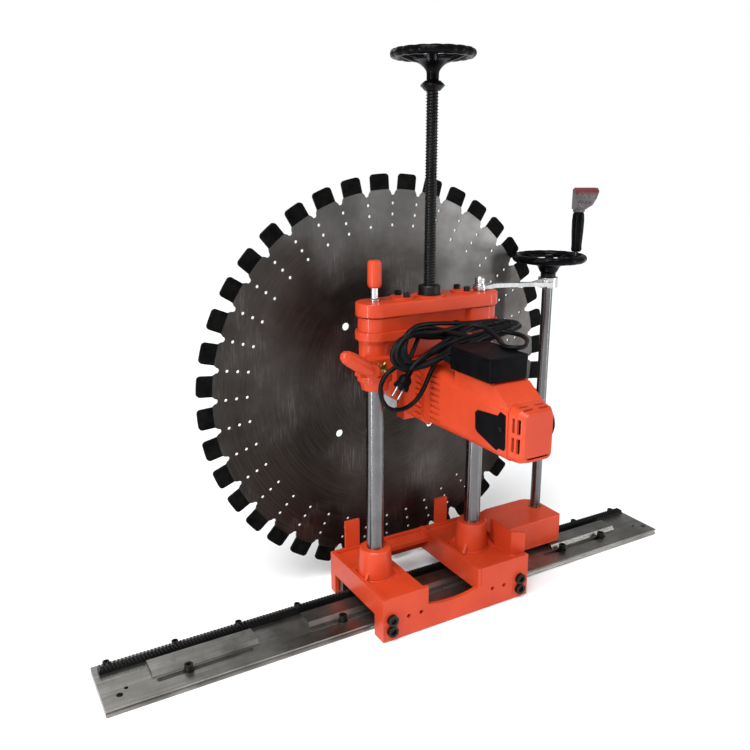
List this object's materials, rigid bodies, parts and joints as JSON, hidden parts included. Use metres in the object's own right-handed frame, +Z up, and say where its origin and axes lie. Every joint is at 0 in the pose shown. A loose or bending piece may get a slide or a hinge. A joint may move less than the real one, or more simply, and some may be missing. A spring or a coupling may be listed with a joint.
{
  "type": "track-mounted electric wall saw",
  "caption": "Electric concrete wall saw: a large diamond blade and its motor on a head that slides down two columns, on a carriage cranked along a toothed floor track.",
  "frame": {"origin": "centre of the track's underside, where it stands on the floor", "axes": "+X along the track, towards the traverse handwheel; +Y from the operator's side to the blade's side; +Z up"},
  "size_m": [1.23, 0.4791, 1.0145],
  "materials": {
    "steel_black": "satin, black oxide",
    "paint_orange": "gloss",
    "grip_grey": "gloss",
    "track_steel": "machined, worn",
    "column_chrome": "polished",
    "screw_black": "black oxide, oiled",
    "wheel_black": "gloss",
    "arm_steel": "plated",
    "shoe_steel": "ground",
    "bronze": "machined",
    "valve_brass": "polished",
    "gear_steel": "machined",
    "core_steel": "laminated",
    "black_plastic": "satin",
    "cord_rubber": "satin",
    "blade_steel": "ground",
    "segment_diamond": "sintered, painted black"
  },
  "bodies": {
    "track": {"track_plate": "track_steel", "rack": "steel_black", "rack_screws": "steel_black", "anchor_screws": "steel_black"},
    "carriage": {"carriage_frame": "paint_orange", "guide_shoes": "shoe_steel", "shoe_screws": "steel_black", "columns": "column_chrome", "top_plate": "paint_orange", "plate_screws": "steel_black", "screw_nut": "steel_black", "gearbox_housing": "paint_orange", "splash_guard": "paint_orange", "shaft_bushes": "bronze", "support_arm": "arm_steel", "arm_bolt": "arm_steel"},
    "lock_knob": {"lock_stud": "arm_steel", "lock_knob": "paint_orange"},
    "traverse_wheel": {"traverse_shaft": "column_chrome", "shaft_collar": "screw_black", "shaft_bevel_gear": "gear_steel", "traverse_handwheel": "wheel_black", "crank_pin": "column_chrome"},
    "crank_grip": {"crank_grip": "wheel_black", "grip_cap": "grip_grey"},
    "pinion": {"pinion_shaft": "gear_steel", "rack_pinion": "gear_steel", "pinion_bevel_gear": "gear_steel"},
    "head": {"head_casting": "paint_orange", "head_bushes": "bronze", "flange_screws": "steel_black", "valve_body": "valve_brass", "gear_case": "paint_orange", "motor_housing": "paint_orange", "motor_cap": "paint_orange", "side_panels": "black_plastic", "motor_screws": "steel_black", "stator": "core_steel", "ball_bearings": "gear_steel", "box_bracket": "paint_orange", "control_box": "black_plastic", "strain_relief": "cord_rubber", "power_cord": "cord_rubber", "cord_hank": "cord_rubber", "plug_body": "black_plastic", "plug_pins": "gear_steel"},
    "lift_screw": {"lead_screw": "screw_black", "screw_collar": "screw_black", "lift_handwheel": "wheel_black"},
    "clamp_lever": {"clamp_lever": "paint_orange"},
    "valve_handle": {"valve_handle": "valve_brass"},
    "power_switch": {"power_switch": "black_plastic"},
    "spindle": {"spindle": "gear_steel", "output_gear": "gear_steel", "outer_flange": "gear_steel", "flange_bolt": "steel_black", "blade_core": "blade_steel", "blade_segments": "segment_diamond"},
    "idler": {"idler_gear": "gear_steel"},
    "rotor": {"rotor": "gear_steel"}
  },
  "joints": [
    {"name": "carriage_travel", "type": "slide", "parent": "track", "child": "carriage", "axis": [1, 0, 0], "range_m": [-0.45, 0.22]},
    {"name": "lock_turn", "type": "hinge", "parent": "carriage", "child": "lock_knob", "pos_m": [-0.1001, -0.0085, 0.61], "axis": [0, 0, 1], "range_deg": [-180, 180]},
    {"name": "traverse_turn", "type": "hinge", "parent": "carriage", "child": "traverse_wheel", "pos_m": [0.3555, 0.062, 0.6], "axis": [0, 0, 1], "range_deg": [-852.3, 1730.9]},
    {"name": "pinion_turn", "type": "hinge", "parent": "carriage", "child": "pinion", "pos_m": [0.3555, 0.0405, 0.037], "axis": [0, 1, 0], "range_deg": [-1730.9, 852.3]},
    {"name": "grip_spin", "type": "hinge", "parent": "traverse_wheel", "child": "crank_grip", "pos_m": [0.41853, 0.05089, 0.69], "axis": [0, 0, 1], "continuous": true},
    {"name": "head_lift", "type": "slide", "parent": "carriage", "child": "head", "axis": [0, 0, -1], "range_m": [0, 0.28]},
    {"name": "lift_turn", "type": "hinge", "parent": "head", "child": "lift_screw", "pos_m": [0.0124, -0.0085, 0.9], "axis": [0, 0, 1], "range_deg": [-20200, 40]},
    {"name": "lever_turn", "type": "hinge", "parent": "head", "child": "clamp_lever", "pos_m": [-0.1431, -0.06, 0.5], "axis": [0, 1, 0], "range_deg": [-40, 25]},
    {"name": "valve_turn", "type": "hinge", "parent": "head", "child": "valve_handle", "pos_m": [-0.1191, -0.07, 0.503], "axis": [0, 1, 0], "range_deg": [0, 90]},
    {"name": "switch_rock", "type": "hinge", "parent": "head", "child": "power_switch", "pos_m": [0.0395, -0.215, 0.525], "axis": [0, 0, 1], "range_deg": [-1.5, 1.5]},
    {"name": "spindle_spin", "type": "hinge", "parent": "head", "child": "spindle", "pos_m": [0.0195, 0.05, 0.413], "axis": [0, 1, 0], "continuous": true},
    {"name": "idler_spin", "type": "hinge", "parent": "head", "child": "idler", "pos_m": [-0.00836, -0.03, 0.42008], "axis": [0, 1, 0], "continuous": true},
    {"name": "rotor_spin", "type": "hinge", "parent": "head", "child": "rotor", "pos_m": [0.0124, -0.1, 0.434], "axis": [0, 1, 0], "continuous": true}
  ],
  "couplings": [
    {"joint": "traverse_turn", "follows": "carriage_travel", "rad_per_m": -66.667},
    {"joint": "pinion_turn", "follows": "carriage_travel", "rad_per_m": 66.667},
    {"joint": "lift_turn", "follows": "head_lift", "rad_per_m": -1256.6},
    {"joint": "idler_spin", "follows": "spindle_spin", "ratio": -2.8333},
    {"joint": "rotor_spin", "follows": "spindle_spin", "ratio": 11.333}
  ]
}
